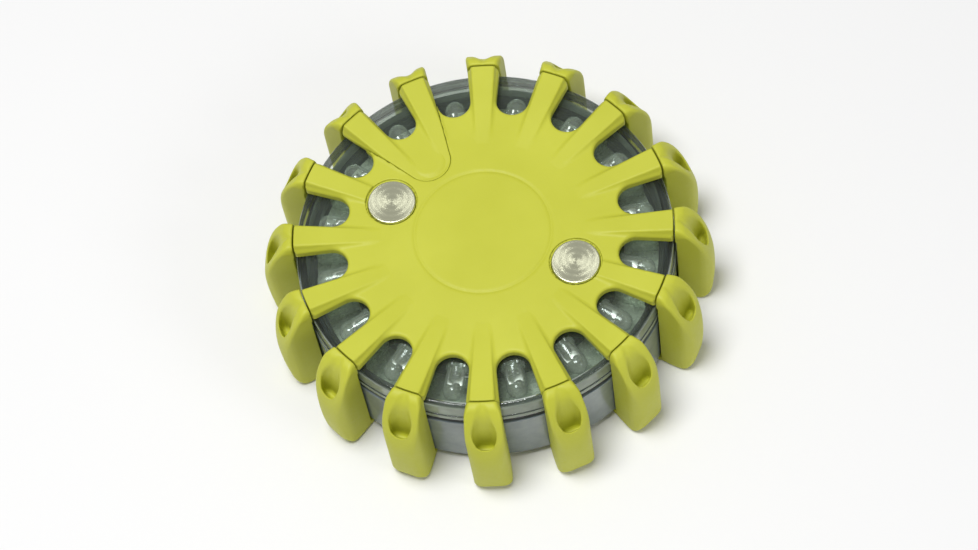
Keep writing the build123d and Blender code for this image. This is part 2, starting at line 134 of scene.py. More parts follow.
def keyhole(along, across, centre, radius, flare):
    """Plan distance to a slot with a round inner end and sides that spread outward."""
    u = along - centre
    side = across * cos(flare) - u * sin(flare) - radius
    cap = np.hypot(u, across) - radius
    return np.where(u * cos(flare) + across * sin(flare) > 0, side, cap)


def turned(x, y, angle):
    """Coordinates along and across one radial line."""
    return x * cos(angle) + y * sin(angle), np.abs(y * cos(angle) - x * sin(angle))


def ridge_shape(u, v, z):
    """A ridge that rises and widens outward, and how far its top stands above the face."""
    t = np.clip((u - RIDGE_START) / (CREST_R - RIDGE_START), 0, 1.1)
    rise = RIDGE_CLIMB * (u - RIDGE_START)
    height = np.maximum(rise, 0.15)
    top, foot = mix(RIDGE_TOP, t), mix(RIDGE_FOOT, t)
    lean = foot - top
    flank = ((v - foot) * height + (z - FACE_Z) * lean) / np.hypot(height, lean)
    return round_cut(z - FACE_Z - rise, flank, RIDGE_EDGE_R), rise


def dip(distance, groove):
    """Depth of a soft groove, given as (place, width, depth)."""
    middle, width, depth = groove
    return depth * np.exp(-(((distance - middle) / width) ** 2))


def tongue_plan(x, y):
    """Plan distance to the press tongue's outline."""
    u, v = turned(x, y, TONGUE_ANGLE)
    return keyhole(u, v, TONGUE_CENTRE, TONGUE_R, TONGUE_FLARE)


def cover_body(x, y, z):
    """Face, ridges and windows of the cover, before the press tongue is cut free."""
    u, v, r = sector(x, y, 0)
    gap_u, gap_v, _ = sector(x, y, PITCH / 2)
    face = z - FACE_Z + dip(r, RING_GROOVE) + dip(-tongue_plan(x, y), TONGUE_GROOVE)
    ridge, rise = ridge_shape(u, v, z)
    top = round_union(face, ridge, np.clip(0.75 * rise, 0.01, RIDGE_FILLET))
    body = round_cut(top, r - COVER_R, FACE_EDGE_R)
    body = round_cut(body, COVER_LOW - z, UNDER_EDGE_R)
    window = keyhole(gap_u, gap_v, WINDOW_CENTRE, WINDOW_R, WINDOW_FLARE)
    return round_cut(body, -window, WINDOW_EDGE_R)


def cover_shape(x, y, z):
    """The cover without the tongue, with seats for the magnet discs."""
    body = cover_body(x, y, z)
    body = round_cut(body, TONGUE_GAP - tongue_plan(x, y), TONGUE_EDGE_R)
    for magnet in MAGNETS.values():
        away = np.hypot(x - magnet.x, y - magnet.y)
        seat = np.maximum(away - CUP_R - SEAT_GAP, COVER_LOW + SEAT_FLOOR - z)
        moat = np.maximum(away - MOAT_R, FACE_Z - MOAT_DEPTH - z)
        body = round_cut(body, -np.minimum(seat, moat), 0.14)
        body = round_cut(body, MAGNET_HOLE_R - away, 0.1)
    return body


def tongue_shape(x, y, z):
    """The press tongue, with the nub that meets the boot."""
    body = round_cut(cover_body(x, y, z), tongue_plan(x, y), TONGUE_EDGE_R)
    body = round_cut(body, TONGUE_UNDER - z, UNDER_EDGE_R)
    away = np.hypot(x - PRESS.x, y - PRESS.y)
    nub = round_cut(away - NUB_R, NUB_LOW - z, 0.3)
    nub = np.maximum(nub, z - TONGUE_UNDER - 0.5)
    return round_union(body, nub, 0.2)


# side view of a fin's outer wall, as radius and height from the heel to the crest
OUTER_WALL = np.array([
    (52.95, 0), (53.45, 4.0), (54.05, 8.0), (TIP_R, 12.0), (54.05, 15.5), (53.2, 19.5),
    (51.85, 23.6), (50.1, 27.3), (48.3, 30.2), (CREST_R, HEIGHT),
])
# the same view of the scoop's floor
SCOOP_LOW = 17.6
SCOOP_FLOOR = np.array([
    (50.0, SCOOP_LOW), (49.8, 21.0), (49.2, 25.0), (48.5, 28.0), (47.8, 29.7), (46.8, 30.9),
    (45.0, HEIGHT),
])
SCOOP_END = (52.65, 22.3)     # lowest point of the scoop's rim
SCOOP_END_DEPTH = 2.2
SCOOP_HALF = 2.8
SCOOP_LEAN = 0.22
SCOOP_FLARE = 0.36            # how fast the scoop widens on its way out
SCOOP_RIM_R = 0.45

FIN_START = 43.0              # the fins' roots, cut off later by the bore
FIN_LENGTH = 12.6
FIN_ROOT_HALF = 3.6
FIN_SPREAD = 0.177            # how fast a fin widens on its way out
FIN_SPREAD_COS = 0.985
FIN_WIDE_HALF = 4.75
FIN_CORNER_R = 4.2
FIN_HEEL_R = 3.0
FIN_EDGE_R = 0.9
CREST_SLOPE = 0.08            # how fast the fins' tops fall towards the cover
ROOF_FALL = (2.0, 1.0)        # slope of the roof's sides, at the root and at the tip
ROOF_HALF = (2.8, 4.5)        # half width at which the roof's sides meet the top


def soft_curve(points, passes):
    """Radius against height through the points, with the corners between them smoothed."""
    heights = np.linspace(points[0, 1], points[-1, 1], 160)
    radii = np.interp(heights, points[:, 1], points[:, 0])
    for _ in range(passes):
        radii[1:-1] += 0.5 * ((radii[2:] + radii[:-2]) / 2 - radii[1:-1])
    return heights, radii, np.gradient(radii, heights)


WALL_CURVE = soft_curve(OUTER_WALL, 90)
FLOOR_CURVE = soft_curve(SCOOP_FLOOR, 60)


def curve_distance(curve, u, z):
    """How far a point lies outside a curve of radius against height."""
    heights, radii, slopes = curve
    lean = np.interp(z, heights, slopes)
    over = np.maximum(z - heights[-1], 0) * slopes[-1]
    return (u - np.interp(z, heights, radii) - over) / np.sqrt(1 + lean**2)


def oval(u, v, a, b):
    """Distance to an ellipse with half axes a and b, near enough close to its edge."""
    near, far = np.hypot(u / a, v / b), np.hypot(u / a**2, v / b**2)
    return near * (near - 1) / np.maximum(far, 1e-6)


def scoop_shape(u, v, z):
    """The well behind the fin's outer wall."""
    floor = -curve_distance(FLOOR_CURVE, u, z)
    centre = SCOOP_END[0] - SCOOP_END_DEPTH
    side = (v - SCOOP_HALF + SCOOP_FLARE * (centre - u)) / np.hypot(1, SCOOP_FLARE)
    plan = np.where(u > centre, oval(u - centre, v, SCOOP_END_DEPTH, SCOOP_HALF), side)
    end = (u - SCOOP_END[0] - SCOOP_LEAN * (z - SCOOP_END[1])) / np.hypot(1, SCOOP_LEAN)
    well = round_cut(round_cut(plan, end, 0.6), floor, 1.4)
    return round_cut(well, SCOOP_LOW - z, 1.2)


def fin_shape(u, v, z):
    """One fin: outer wall, heel, flanks that spread outward, a roof and the scoop."""
    crest = z - (HEIGHT - CREST_SLOPE * (CREST_R - u))
    side = round_cut(curve_distance(WALL_CURVE, u, z), crest, FIN_EDGE_R)
    side = round_cut(side, -z, FIN_HEEL_R)
    taper = (v - FIN_ROOT_HALF - FIN_SPREAD * (u - FIN_START)) * FIN_SPREAD_COS
    flank = round_cut(taper, v - FIN_WIDE_HALF, 0.8)
    plan = round_cut(flank, u - TIP_R, FIN_CORNER_R)
    t = np.clip((u - FIN_START) / FIN_LENGTH, 0, 1)
    fall = mix(ROOF_FALL, t)
    roof = (z - HEIGHT - 0.05 + fall * (v - mix(ROOF_HALF, t))) / np.sqrt(1 + fall**2)
    body = round_cut(side, plan, FIN_EDGE_R)
    body = round_cut(body, roof, 0.5)
    body = round_cut(body, FIN_START - u, 0.1)
    return round_cut(body, -scoop_shape(u, v, z), SCOOP_RIM_R)


def cage_shape(x, y, z):
    """The fins on their bottom disc, bored out for the puck and, more tightly, for the cover."""
    u, v, r = sector(x, y, 0)
    gap_u, gap_v, _ = sector(x, y, PITCH / 2)
    disc = np.maximum(z - BOTTOM_T, -z)
    disc = round_cut(disc, r - CAGE_BORE, 0.3)
    window = keyhole(gap_u, gap_v, WINDOW_CENTRE, WINDOW_R, WINDOW_FLARE)
    disc = round_cut(disc, -window, 0.3)
    bore_r = SEAM_R + (CAGE_BORE - SEAM_R) * np.clip((COVER_LOW + 0.2 - z) / 0.4, 0, 1)
    bore = np.maximum(r - bore_r, BOTTOM_T - z)
    fin = round_cut(fin_shape(u, v, z), -bore, FACE_EDGE_R)
    return np.minimum(fin, disc)


# ---------------------------------------------------------------- meshes from distances
SETTLE_STEP = 0.01
SETTLE_LIMIT = 0.2
SHADE_STEP = 0.04             # wider, which softens the shading where faces meet


def gradient(shape, p, e):
    """Slope of a distance function at points p, measured over steps of e."""
    out = np.empty_like(p)
    for k in range(3):
        step = np.zeros(3)
        step[k] = e
        out[:, k] = (shape(*(p + step).T) - shape(*(p - step).T)) / (2 * e)
    return out


def polar_net(shape, radii, angles, heights, closed):
    """A quad mesh of the surface where shape is zero, from a grid of radius, angle and height."""
    radii, angles, heights = map(np.asarray, (radii, angles, heights))
    rr, aa, zz = np.meshgrid(radii, angles, heights, indexing="ij")
    value = shape(rr * np.cos(aa), rr * np.sin(aa), zz)
    inside = value < 0
    count = sum(
        inside[i : i - 1 or None, j : j - 1 or None, k : k - 1 or None].astype(np.int8)
        for i in (0, 1) for j in (0, 1) for k in (0, 1)
    )
    active = np.argwhere((count > 0) & (count < 8))
    number = -np.ones(count.shape, int)
    number[tuple(active.T)] = np.arange(len(active))
    total = np.zeros((len(active), 3))
    hits = np.zeros(len(active))
    corners = [np.array(c) for c in np.ndindex(2, 2, 2)]
    for a in corners:
        for axis in range(3):
            if a[axis]:
                continue
            b = a.copy()
            b[axis] = 1
            va = value[tuple((active + a).T)]
            vb = value[tuple((active + b).T)]
            cross = (va < 0) != (vb < 0)
            t = np.where(cross, va / np.where(cross, va - vb, 1), 0)
            spot = a + (b - a) * t[:, None]
            total += np.where(cross[:, None], spot, 0)
            hits += cross
    local = total / hits[:, None]
    grid = []
    for axis, line in enumerate((radii, angles, heights)):
        low = line[active[:, axis]]
        grid.append(low + (line[active[:, axis] + 1] - low) * local[:, axis])
    r, a, z = grid
    points = np.stack([r * np.cos(a), r * np.sin(a), z], 1)

    faces = []
    wrap = number.shape[1]

    def cell(i, j, k):
        return number[i, j % wrap, k]

    # edges along the radius
    change = inside[:-1] != inside[1:]
    i, j, k = np.nonzero(change[:, :wrap, 1:-1])
    k = k + 1
    keep = slice(None) if closed else (j > 0)
    i, j, k = i[keep], j[keep], k[keep]
    quad = np.stack([cell(i, j - 1, k - 1), cell(i, j, k - 1), cell(i, j, k), cell(i, j - 1, k)], 1)
    faces.append(np.where(inside[i, j, k][:, None], quad, quad[:, ::-1]))
    # edges along the angle
    change = inside[:, :-1] != inside[:, 1:]
    i, j, k = np.nonzero(change[1:-1, :, 1:-1])
    i, k = i + 1, k + 1
    quad = np.stack([cell(i - 1, j, k - 1), cell(i - 1, j, k), cell(i, j, k), cell(i, j, k - 1)], 1)
    faces.append(np.where(inside[i, j, k][:, None], quad, quad[:, ::-1]))
    # edges along the height
    change = inside[:, :, :-1] != inside[:, :, 1:]
    i, j, k = np.nonzero(change[1:-1, :wrap])
    i = i + 1
    keep = slice(None) if closed else (j > 0)
    i, j, k = i[keep], j[keep], k[keep]
    quad = np.stack([cell(i - 1, j - 1, k), cell(i, j - 1, k), cell(i, j, k), cell(i - 1, j, k)], 1)
    faces.append(np.where(inside[i, j, k][:, None], quad, quad[:, ::-1]))
    quads = np.concatenate(faces)
    triangles = []
    if closed:
        # the sheets that reach the innermost radius are closed with a fan
        j, k = np.nonzero(change[0, :wrap])
        for level in np.unique(k):
            spokes = j[k == level]
            rim_a, rim_b = cell(0, spokes - 1, level), cell(0, spokes, level)
            hub = len(points)
            points = np.vstack([points, [0, 0, points[rim_a, 2].mean()]])
            fan = np.stack([rim_a, rim_b, np.full(len(rim_a), hub)], 1)
            up = inside[0, spokes[0], level]
            triangles += (fan if up else fan[:, ::-1]).tolist()
    # a few steps along the slope bring the points onto the surface
    for _ in range(4):
        slope = gradient(shape, points, SETTLE_STEP)
        size = np.maximum((slope**2).sum(1), 0.3)
        move = slope * (shape(*points.T) / size)[:, None]
        points = points - np.clip(move, -SETTLE_LIMIT, SETTLE_LIMIT)
    normals = gradient(shape, points, SHADE_STEP)
    normals /= np.maximum(np.linalg.norm(normals, axis=1), 1e-9)[:, None]
    return points, quads.tolist() + triangles, normals


def make_object(name, points, faces, normals=None):
    """A smooth-shaded mesh object from points in millimetres."""
    mesh = bpy.data.meshes.new(name)
    mesh.from_pydata((np.asarray(points) * MM).tolist(), [], faces)
    mesh.validate()
    mesh.polygons.foreach_set("use_smooth", [True] * len(mesh.polygons))
    if normals is not None:
        mesh.normals_split_custom_set_from_vertices(normals.tolist())
    obj = bpy.data.objects.new(name, mesh)
    bpy.context.scene.collection.objects.link(obj)
    return obj


def spread(*spans):
    """Sample positions: (start, end, step) spans joined into one rising list."""
    out = [np.linspace(a, b, max(int(round((b - a) / s)), 1), endpoint=False) for a, b, s in spans]
    return np.concatenate(out + [[spans[-1][1]]])


# ---------------------------------------------------------------- materials
def new_material(name):
    mat = bpy.data.materials.new(name)
    mat.use_nodes = True
    tree = mat.node_tree
    tree.nodes.clear()
    out = tree.nodes.new("ShaderNodeOutputMaterial")
    return mat, tree, out


def node(tree, kind, inputs=None, **settings):
    """A shader node whose inputs are given as values or as the sockets to link."""
    n = tree.nodes.new("ShaderNode" + kind)
    for key, value in settings.items():
        setattr(n, key, value)
    for key, value in (inputs or {}).items():
        if isinstance(value, bpy.types.NodeSocket):
            tree.links.new(value, n.inputs[key])
        else:
            n.inputs[key].default_value = value
    return n


def place(tree):
    """Where a point lies, in its own piece's coordinates."""
    return node(tree, "TexCoord").outputs["Object"]


def noise(tree, scale, detail=2.0, rough=0.5):
    """A noise whose size is given as features per millimetre."""
    return node(tree, "TexNoise", {
        "Vector": place(tree), "Scale": scale / MM, "Detail": detail, "Roughness": rough,
    }).outputs["Fac"]


def span(tree, value, start, end, low, high):
    """Maps the range from start to end onto the one from low to high, and holds it outside."""
    return node(tree, "MapRange", {0: value, 1: start, 2: end, 3: low, 4: high}).outputs[0]


def ramp(tree, value, low, high, start=0.3, end=0.7):
    """The same for a noise, whose values lie mostly in its middle."""
    return span(tree, value, start, end, low, high)


def blend_colours(tree, factor, a, b):
    n = node(tree, "Mix", data_type="RGBA")
    tree.links.new(factor, n.inputs["Factor"])
    for socket, value in ((n.inputs[6], a), (n.inputs[7], b)):
        if isinstance(value, bpy.types.NodeSocket):
            tree.links.new(value, socket)
        else:
            socket.default_value = (*value, 1)
    return n.outputs[2]


def bump(tree, height, strength, distance):
    n = node(tree, "Bump", {"Height": height, "Strength": strength, "Distance": distance * MM})
    return n.outputs["Normal"]


def finish(
    name, low, high, rough=(0.35, 0.5), metallic=0.0, grain=2.0, depth=0.01, patch=0.08,
    specular=0.5, subsurface=0.0,
):
    """A solid finish: two close colours in soft patches, uneven gloss and a fine grain."""
    mat, tree, out = new_material(name)
    patches = noise(tree, patch, 3.0)
    fine = noise(tree, grain, 3.0, 0.6)
    tone = ramp(tree, patches, 0.0, 1.0)
    colour = blend_colours(tree, tone, low, high)
    shader = node(tree, "BsdfPrincipled", {
        "Base Color": colour,
        "Metallic": metallic,
        "Roughness": ramp(tree, fine, *rough),
        "Specular IOR Level": specular,
        "Normal": bump(tree, fine, 0.6, depth),
    })
    if subsurface:
        shader.inputs["Subsurface Weight"].default_value = subsurface
        shader.inputs["Subsurface Radius"].default_value = (0.0012, 0.0012, 0.0003)
        shader.inputs["Subsurface Scale"].default_value = 1.0
    tree.links.new(shader.outputs[0], out.inputs[0])
    return mat


def upright(tree, low, high, above):
    """Goes from low on level faces to high on upright ones that lie above a height."""
    normal = node(tree, "TexCoord").outputs["Normal"]
    lift = node(tree, "SeparateXYZ", {0: normal}).outputs["Z"]
    level = node(tree, "Math", {0: lift}, operation="ABSOLUTE").outputs[0]
    facing = span(tree, level, 0.35, 0.75, 1, 0)
    height = node(tree, "SeparateXYZ", {0: place(tree)}).outputs["Z"]
    reach = span(tree, height, (above - 0.2) * MM, above * MM, 0, 1)
    both = node(tree, "Math", {0: facing, 1: reach}, operation="MULTIPLY").outputs[0]
    return span(tree, both, 0, 1, low, high)


TRAPPED_SHARE = 0.6


def clear_finish(name, tint, haze, gloss=0.05, veil=(0.03, 0.05), above=0.0, edge=1.45):
    """Clear plastic: what is behind it shows through a tint, with a mirror that grows at a slant.

    veil is how milky the level faces are, and the upright ones above the height given as above.
    edge is how strongly it bends light. Upright walls also trap some of it inside.
    """
    mat, tree, out = new_material(name)
    fine = noise(tree, 0.5, 4.0, 0.6)
    streak = noise(tree, 0.12, 2.0)
    normal = bump(tree, fine, 0.25, 0.004)
    through = node(tree, "BsdfTransparent", {
        "Color": blend_colours(tree, ramp(tree, streak, 0, 1), tint, tuple(c * 0.96 for c in tint)),
    })
    mirror = node(tree, "BsdfGlossy", {
        "Color": (0.95, 0.97, 1.0, 1),
        "Roughness": ramp(tree, fine, gloss, gloss + 0.06),
        "Normal": normal,
    })
    milk = node(tree, "BsdfPrincipled", {
        "Base Color": blend_colours(tree, ramp(tree, fine, 0, 1), haze, tuple(c * 0.85 for c in haze)),
        "Roughness": 0.3,
        "Specular IOR Level": 0.2,
        "Normal": normal,
    })
    amount = node(tree, "Math", {
        0: upright(tree, *veil, above), 1: ramp(tree, streak, 0.8, 1.2),
    }, operation="MULTIPLY")
    body = node(tree, "MixShader", {0: amount.outputs[0], 1: through.outputs[0], 2: milk.outputs[0]})
    facing = node(tree, "LayerWeight", {"Blend": 0.5, "Normal": normal}).outputs["Facing"]
    grazing = node(tree, "Math", {0: facing, 1: 5.0}, operation="POWER").outputs[0]
    straight = ((edge - 1) / (edge + 1)) ** 2
    share = span(tree, grazing, 0, 1, straight, 1)
    trapped = node(tree, "Fresnel", {"IOR": edge, "Normal": normal}).outputs[0]
    where = upright(tree, 0.0, TRAPPED_SHARE, 0.0)
    share = node(tree, "Mix", {0: where, 2: share, 3: trapped}).outputs[0]
    top = node(tree, "MixShader", {0: share, 1: body.outputs[0], 2: mirror.outputs[0]})
    tree.links.new(top.outputs[0], out.inputs[0])
    return mat


def turned_finish(name, colour, dark):
    """Turned steel: fine rings round the piece's own axis and a streaky gloss across them."""
    mat, tree, out = new_material(name)
    rings = node(tree, "TexWave", {
        "Vector": place(tree), "Scale": 1.1 / MM, "Distortion": 0.4, "Detail": 2.0,
    }, wave_type="RINGS", rings_direction="Z").outputs["Fac"]
    shader = node(tree, "BsdfPrincipled", {
        "Base Color": blend_colours(tree, ramp(tree, rings, 0, 1, 0.0, 1.0), colour, dark),
        "Metallic": 0.85,
        "Roughness": ramp(tree, rings, 0.2, 0.28, 0.0, 1.0),
        "Anisotropic": 0.85,
        "Normal": bump(tree, rings, 0.3, 0.01),
        "Tangent": node(tree, "Tangent", direction_type="RADIAL", axis="Z").outputs[0],
    })
    tree.links.new(shader.outputs[0], out.inputs[0])
    return mat


def laminate_finish(name):
    """Green solder mask with slightly raised tracks under it."""
    mat, tree, out = new_material(name)
    tracks = node(tree, "TexBrick", {
        "Vector": place(tree), "Scale": 0.22 / MM, "Mortar Size": 0.035, "Bias": 0.0,
        "Brick Width": 0.9, "Row Height": 0.35,
    }, offset=0.37, squash=1.6, squash_frequency=3).outputs["Fac"]
    fine = noise(tree, 2.5, 3.0)
    shader = node(tree, "BsdfPrincipled", {
        "Base Color": blend_colours(tree, tracks, (0.012, 0.062, 0.03), (0.035, 0.14, 0.07)),
        "Roughness": ramp(tree, fine, 0.22, 0.34),
        "Coat Weight": 0.3,
        "Normal": bump(tree, tracks, 0.5, 0.03),
    })
    tree.links.new(shader.outputs[0], out.inputs[0])
    return mat


def wrap_finish(name):
    """Printed shrink film round the cell: a dark wrap with a copper band and a thin pale line."""
    mat, tree, out = new_material(name)
    x = node(tree, "SeparateXYZ", {0: place(tree)}).outputs["X"]
    band = span(tree, x, 9.8 * MM, 10.0 * MM, 0, 1)
    line_in = span(tree, x, 8.8 * MM, 8.9 * MM, 0, 1)
    line_out = span(tree, x, 9.3 * MM, 9.4 * MM, 1, 0)
    line = node(tree, "Math", {0: line_in, 1: line_out}, operation="MULTIPLY").outputs[0]
    speck = noise(tree, 1.5, 3.0)
    ground = blend_colours(tree, ramp(tree, speck, 0, 1), (0.01, 0.013, 0.02), (0.02, 0.024, 0.034))
    copper = blend_colours(tree, ramp(tree, speck, 0, 1), (0.42, 0.17, 0.06), (0.5, 0.22, 0.08))
    film = blend_colours(tree, band, ground, copper)
    shader = node(tree, "BsdfPrincipled", {
        "Base Color": blend_colours(tree, line, film, (0.6, 0.6, 0.58)),
        "Metallic": ramp(tree, band, 0.0, 0.7, 0.0, 1.0),
        "Roughness": ramp(tree, speck, 0.2, 0.3),
        "Coat Weight": 0.6,
        "Normal": bump(tree, speck, 0.3, 0.01),
    })
    tree.links.new(shader.outputs[0], out.inputs[0])
    return mat


def linear(r, g, b):
    """An sRGB colour given 0 to 255 as linear values."""
    return tuple(((c / 255 + 0.055) / 1.055) ** 2.4 if c > 10 else c / 255 / 12.92 for c in (r, g, b))


def grey(level, warm=0.0):
    return (level * (1 + warm), level, level * (1 - warm))


MATERIALS = {
    "shell_plastic": finish(
        "lime_plastic", linear(189, 192, 60), linear(196, 199, 68), (0.42, 0.54),
        grain=1.3, depth=0.02, patch=0.05, specular=0.28, subsurface=0.1,
    ),
    "turned_steel": turned_finish("turned_steel", linear(243, 244, 212), linear(214, 215, 186)),
    "magnet_nickel": finish("magnet_nickel", grey(0.3), grey(0.42), (0.25, 0.4), 1.0),
    "clear_polycarbonate": clear_finish(
        "clear_polycarbonate", (0.92, 0.95, 0.93), linear(192, 205, 190),
        gloss=0.03, veil=(0.035, 0.55), above=21.3, edge=1.32,
    ),
    "smoky_polycarbonate": clear_finish(
        "smoky_polycarbonate", (0.5, 0.55, 0.6), linear(134, 145, 152),
        gloss=0.1, veil=(0.92, 0.92), edge=1.4,
    ),
    "seal_rubber": finish(
        "seal_rubber", (0.005, 0.006, 0.009), (0.012, 0.013, 0.018), (0.45, 0.65), grain=3, depth=0.02,
    ),
    "boot_rubber": finish("boot_rubber", grey(0.012), grey(0.03), (0.5, 0.7), grain=3, depth=0.02),
    "board_laminate": laminate_finish("board_laminate"),
    "screw_steel": finish("screw_steel", grey(0.35), grey(0.5), (0.25, 0.45), 1.0),
    "tinned_wire": finish("tinned_wire", grey(0.75), grey(0.88), (0.25, 0.45), 1.0),
    "led_epoxy": clear_finish(
        "led_epoxy", (0.97, 0.98, 0.97), linear(236, 242, 230),
        gloss=0.08, veil=(0.18, 0.22), edge=1.75,
    ),
    "reflector_silver": finish(
        "reflector_silver", (0.4, 0.47, 0.38), (0.66, 0.74, 0.62), (0.2, 0.34), 0.35,
        grain=0.9, depth=0.05, patch=0.3,
    ),
    "switch_body": finish("switch_body", grey(0.012), grey(0.03), (0.35, 0.5)),
    "switch_cap": finish("switch_cap", grey(0.4, 0.03), grey(0.5, 0.03), (0.3, 0.45)),
    "chip_epoxy": finish("chip_epoxy", grey(0.01), grey(0.022), (0.4, 0.6), grain=4),
    "ferrite": finish("ferrite", grey(0.03), grey(0.06), (0.5, 0.7), grain=3),
    "capacitor_can": finish("capacitor_can", grey(0.55), grey(0.7), (0.2, 0.35), 1.0),
    "resistor_ceramic": finish("resistor_ceramic", grey(0.02), grey(0.06), (0.3, 0.5)),
    "holder_plastic": finish("holder_plastic", grey(0.02), grey(0.04), (0.4, 0.55)),
    "contact_metal": finish("contact_metal", grey(0.6, 0.05), grey(0.73, 0.05), (0.2, 0.35), 1.0),
    "cell_steel": finish("cell_steel", grey(0.6), grey(0.72), (0.15, 0.3), 1.0),
    "cell_wrap": wrap_finish("cell_wrap"),
    "foam": finish("foam", grey(0.03), grey(0.075), (0.8, 0.95), grain=2.2, depth=0.25),
}

# every CAD node takes the finish that its slot is named after
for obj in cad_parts.values():
    for slot in obj.material_slots:
        key = slot.material.name.split(".")[0] if slot.material else ""
        slot.link = "OBJECT"
        slot.material = MATERIALS[key]


def dress(obj, slot, body, *replaced):
    """Gives a piece its finish and its body, and hides the CAD nodes that it stands for."""
    obj.data.materials.append(MATERIALS[slot])
    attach(obj, body)
    if replaced:
        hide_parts(*replaced)


# ---------------------------------------------------------------- shell mouldings
def circle_steps(per_sector):
    """Angles for a whole turn, with the same number in every fin's sector."""
    count = FINS * per_sector
    return FIRST_FIN - PITCH / 2 + np.arange(count + 1) * ROUND / count


def shell_piece(name, shape, radii, angles, heights, closed, body, replaced):
    """A moulding meshed from its distance function, closed when it goes all the way round."""
    points, faces, normals = polar_net(shape, radii, angles, heights, closed)
    obj = make_object(name, points, faces, normals)
    dress(obj, "shell_plastic", body, replaced)


# The nets are fine where a shape bends and coarse where it is plain. They reach a little
# beyond each shape on every side.
NET_TOP = 32.3
COVER_NET_LOW = 26.9
COVER_NET_R = 45.1
CAGE_NET_R = 55.0
TONGUE_HALF_ANGLE = radians(21)

shell_piece(
    "cover_moulding", cover_shape,
    spread((3, 14, 5.5), (14, 15.4, 0.7), (15.4, 17.0, 0.16), (17.0, COVER_NET_R, 0.43)),
    circle_steps(42),
    spread((COVER_NET_LOW, NET_TOP, 0.36)),
    True, "cover", "shell_cover",
)
shell_piece(
    "press_tongue", tongue_shape,
    spread((17.9, COVER_NET_R, 0.34)),
    TONGUE_ANGLE + np.linspace(-TONGUE_HALF_ANGLE, TONGUE_HALF_ANGLE, 112),
    spread((COVER_NET_LOW, NET_TOP, 0.33)),
    False, "button", "power_button",
)
shell_piece(
    "cage_moulding", cage_shape,
    spread((3, 27, 12), (27, 42.6, 2.2), (42.6, CAGE_NET_R, 0.44)),
    circle_steps(46),
    spread((-0.7, 2.3, 0.43), (2.3, 16.0, 1.0), (16.0, NET_TOP, 0.44)),
    True, "cage", "shell_cage",
)


# ---------------------------------------------------------------- turned and cut pieces
def lathe(profile, count, axis="Z", centre=(0, 0, 0)):
    """Points and faces of a closed profile of (radius, height) turned about an axis."""
    profile = np.asarray(profile, float)
    angles = np.arange(count) * ROUND / count
    r, h = profile[:, 0][:, None], np.repeat(profile[:, 1][:, None], count, 1)
    a, b = r * np.cos(angles), r * np.sin(angles)
    order = (a, b, h) if axis == "Z" else (h, a, b)
    points = np.stack(order, 2).reshape(-1, 3) + np.asarray(centre)
    rows = len(profile)
    faces = []
    for i in range(rows - 1):
        for j in range(count):
            k = (j + 1) % count
            faces.append((i * count + j, i * count + k, (i + 1) * count + k, (i + 1) * count + j))
    return points, faces


def slab(outline, low, high):
    """A flat plate with a given plan outline."""
    count = len(outline)
    points = [(x, y, z) for z in (low, high) for x, y in outline]
    faces = [tuple(range(count))[::-1], tuple(range(count, 2 * count))]
    faces += [(i, (i + 1) % count, count + (i + 1) % count, count + i) for i in range(count)]
    return np.array(points), faces


def join(*parts):
    """Several point and face lists as one."""
    points, faces, base = [], [], 0
    for p, f in parts:
        points.append(p)
        faces += [tuple(i + base for i in face) for face in f]
        base += len(p)
    return np.concatenate(points), faces


def turn(part, angle):
    """Points and faces turned about the flare's own axis."""
    points, faces = part
    c, n = cos(angle), sin(angle)
    x, y, z = points.T
    return np.stack([x * c - y * n, x * n + y * c, z], 1), faces


def weld(obj, crease=radians(35), edge=0.0):
    """Joins doubled points, faces everything outward, rounds the edges and shades by angle."""
    mesh = obj.data
    work = bmesh.new()
    work.from_mesh(mesh)
    bmesh.ops.remove_doubles(work, verts=work.verts, dist=1e-6)
    bmesh.ops.dissolve_degenerate(work, edges=work.edges, dist=1e-7)
    bmesh.ops.recalc_face_normals(work, faces=work.faces)
    if edge:
        sharp = [e for e in work.edges if e.is_manifold and e.calc_face_angle(0) > crease]
        bmesh.ops.bevel(work, geom=sharp, offset=edge * MM, segments=2, affect="EDGES", profile=0.5)
    for e in work.edges:
        e.smooth = not (e.is_manifold and e.calc_face_angle(0) > crease)
    for f in work.faces:
        f.smooth = True
    work.to_mesh(mesh)
    work.free()
    return obj


def arc(centre, radius, start, end, steps):
    """Points (across, along) on a round corner, angles in degrees."""
    turns = np.radians(np.linspace(start, end, steps))
    return [(centre[0] + radius * cos(t), centre[1] + radius * sin(t)) for t in turns]


# magnet discs: turned steel cups, open below, whose faces carry fine turning rings
CUP_EDGE_R = 0.3
CUP_HOLLOW_R = 4.35
CUP_HOLLOW_TOP = -0.9         # below the face
RING_PITCH = 0.24
RING_STEP = 0.04
RING_HEIGHT = 0.006
RING_SINK = 0.008             # keeps the rings' tops below the CAD face


def magnet_disc(name, replaced):
    """A disc modelled about its own axis, so that its turned finish is centred on it."""
    low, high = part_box(replaced)
    bottom = (low.z - high.z) / MM
    flat_r = CUP_R - CUP_EDGE_R
    rings = np.arange(0.0, flat_r, RING_STEP)
    ripple = RING_HEIGHT * np.cos(ROUND * rings / RING_PITCH) - RING_SINK
    face = list(zip(rings, ripple)) + arc((flat_r, -CUP_EDGE_R), CUP_EDGE_R, 90, 0, 6)
    hollow = [(CUP_HOLLOW_R, bottom), (CUP_HOLLOW_R, CUP_HOLLOW_TOP), (0.0, CUP_HOLLOW_TOP)]
    obj = weld(make_object(name, *lathe(face + [(CUP_R, bottom)] + hollow, 144)))
    obj.location = ((low.x + high.x) / 2, (low.y + high.y) / 2, high.z)
    dress(obj, "turned_steel", "cover", replaced)


for side in MAGNETS:
    magnet_disc(f"magnet_disc_{side}", f"magnet_cup_{side}")

